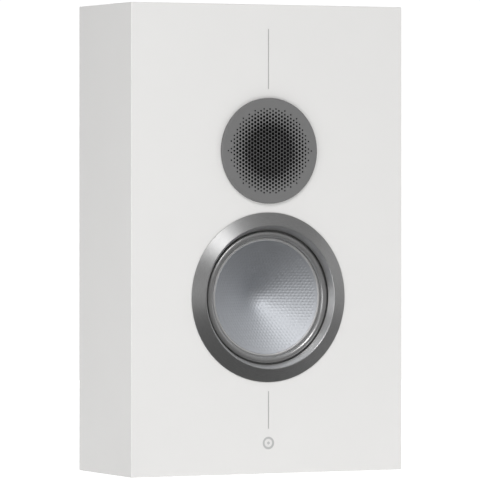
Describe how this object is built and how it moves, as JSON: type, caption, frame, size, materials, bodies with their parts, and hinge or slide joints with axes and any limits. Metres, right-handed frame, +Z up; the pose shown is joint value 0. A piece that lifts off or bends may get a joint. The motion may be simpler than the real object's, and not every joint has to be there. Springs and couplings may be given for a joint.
{
  "type": "bookshelf speaker",
  "caption": "Slim two-way loudspeaker in a white box, with a round perforated tweeter plate, a metal-cone woofer in a bevelled ring and binding posts on the back.",
  "frame": {"origin": "centre of the cabinet's underside, on the surface it stands on", "axes": "+X to the right seen from the front, +Y from the front to the back, +Z up"},
  "size_m": [0.32, 0.1465, 0.5],
  "materials": {
    "white_lacquer": "satin white lacquer over fibreboard",
    "back_lacquer": "satin white lacquer, lightly textured",
    "bare_fibreboard": "bare fibreboard",
    "inlay_grey": "satin grey inlay",
    "badge_grey": "satin grey disc",
    "wadding": "fluffy polyester wadding",
    "zinc_plate": "zinc plated",
    "black_screws": "black oxide",
    "bumper_rubber": "soft matte",
    "tray_plastic": "spark-eroded black",
    "gasket_foam": "closed-cell foam",
    "insulator": "moulded black",
    "gold_plate": "bright gold plate",
    "knob_metal": "dark polished",
    "red_band": "moulded red",
    "black_band": "moulded black",
    "cast_frame": "powder coated casting",
    "trim_metal": "circular brushed gunmetal",
    "surround_rubber": "smooth butyl rubber",
    "cone_metal": "anodised, dimpled",
    "former_film": "thin foil",
    "copper_wire": "enamelled copper wire",
    "spider_cloth": "resin-dipped cloth",
    "zinc_steel": "zinc plated turned steel",
    "ferrite": "sintered ferrite",
    "neodymium": "nickel plated",
    "strip_board": "pressed board with tinned tags",
    "grey_plate": "fine-textured grey",
    "chassis_plastic": "moulded black",
    "pleat_film": "aluminium on amber film",
    "tinned_tags": "tinned",
    "circuit_board": "green solder mask",
    "white_nylon": "nylon",
    "capacitor_film": "wrapped film",
    "resistor_ceramic": "cement",
    "wire_jacket": "soft insulation"
  },
  "bodies": {
    "cabinet": {"front_baffle": "white_lacquer", "left_side_panel": "white_lacquer", "right_side_panel": "white_lacquer", "top_panel": "white_lacquer", "bottom_panel": "white_lacquer", "back_panel": "back_lacquer", "window_brace": "bare_fibreboard", "inlay_lines": "inlay_grey", "round_badge": "badge_grey", "acoustic_wadding": "wadding", "keyhole_plates": "zinc_plate", "keyhole_screws": "black_screws", "terminal_tray_screws": "black_screws", "woofer_screws": "black_screws", "tweeter_screws": "black_screws", "board_screws": "black_screws", "wall_bumpers": "bumper_rubber", "terminal_tray": "tray_plastic", "terminal_gasket": "gasket_foam", "woofer_gasket": "gasket_foam", "tweeter_gasket": "gasket_foam", "post_insulators": "insulator", "red_post": "gold_plate", "black_post": "gold_plate", "post_nuts": "gold_plate", "solder_lugs": "gold_plate", "woofer_basket": "cast_frame", "woofer_trim_ring": "trim_metal", "woofer_surround": "surround_rubber", "inductor_windings": "copper_wire", "woofer_tinsel_leads": "copper_wire", "woofer_spider": "spider_cloth", "woofer_top_plate": "zinc_steel", "woofer_yoke": "zinc_steel", "tweeter_pole_plates": "zinc_steel", "woofer_magnet": "ferrite", "tweeter_magnets": "neodymium", "woofer_terminal_strip": "strip_board", "tweeter_plate": "grey_plate", "tweeter_waveguide": "chassis_plastic", "tweeter_rear_cover": "chassis_plastic", "tweeter_diaphragm": "pleat_film", "tweeter_terminals": "tinned_tags", "crossover_board": "circuit_board", "board_standoffs": "white_nylon", "inductor_bobbins": "white_nylon", "capacitors": "capacitor_film", "resistors": "resistor_ceramic", "input_wires": "wire_jacket", "driver_wires": "wire_jacket"},
    "woofer_cone": {"woofer_cone": "cone_metal", "woofer_coil_former": "former_film", "woofer_voice_coil": "copper_wire"},
    "red_clamp": {"red_clamp_washer": "gold_plate"},
    "red_knob": {"red_knob": "knob_metal", "red_knob_band": "red_band"},
    "black_clamp": {"black_clamp_washer": "gold_plate"},
    "black_knob": {"black_knob": "knob_metal", "black_knob_band": "black_band"}
  },
  "joints": [
    {"name": "woofer_travel", "type": "slide", "parent": "cabinet", "child": "woofer_cone", "axis": [0, 1, 0], "range_m": [-0.006, 0.006], "stiffness_N_per_m": 1250, "deforming": ["woofer_surround", "woofer_spider", "woofer_tinsel_leads"]},
    {"name": "red_clamp_slide", "type": "slide", "parent": "cabinet", "child": "red_clamp", "axis": [0, 1, 0], "range_m": [0, 0.004]},
    {"name": "red_knob_turn", "type": "hinge", "parent": "red_clamp", "child": "red_knob", "pos_m": [-0.018, 0.055, 0.1], "axis": [0, 1, 0], "range_deg": [0, 1440]},
    {"name": "black_clamp_slide", "type": "slide", "parent": "cabinet", "child": "black_clamp", "axis": [0, 1, 0], "range_m": [0, 0.004]},
    {"name": "black_knob_turn", "type": "hinge", "parent": "black_clamp", "child": "black_knob", "pos_m": [0.018, 0.055, 0.1], "axis": [0, 1, 0], "range_deg": [0, 1440]}
  ],
  "couplings": [
    {"joint": "red_knob_turn", "follows": "red_clamp_slide", "rad_per_m": 6283.2},
    {"joint": "black_knob_turn", "follows": "black_clamp_slide", "rad_per_m": 6283.2}
  ]
}
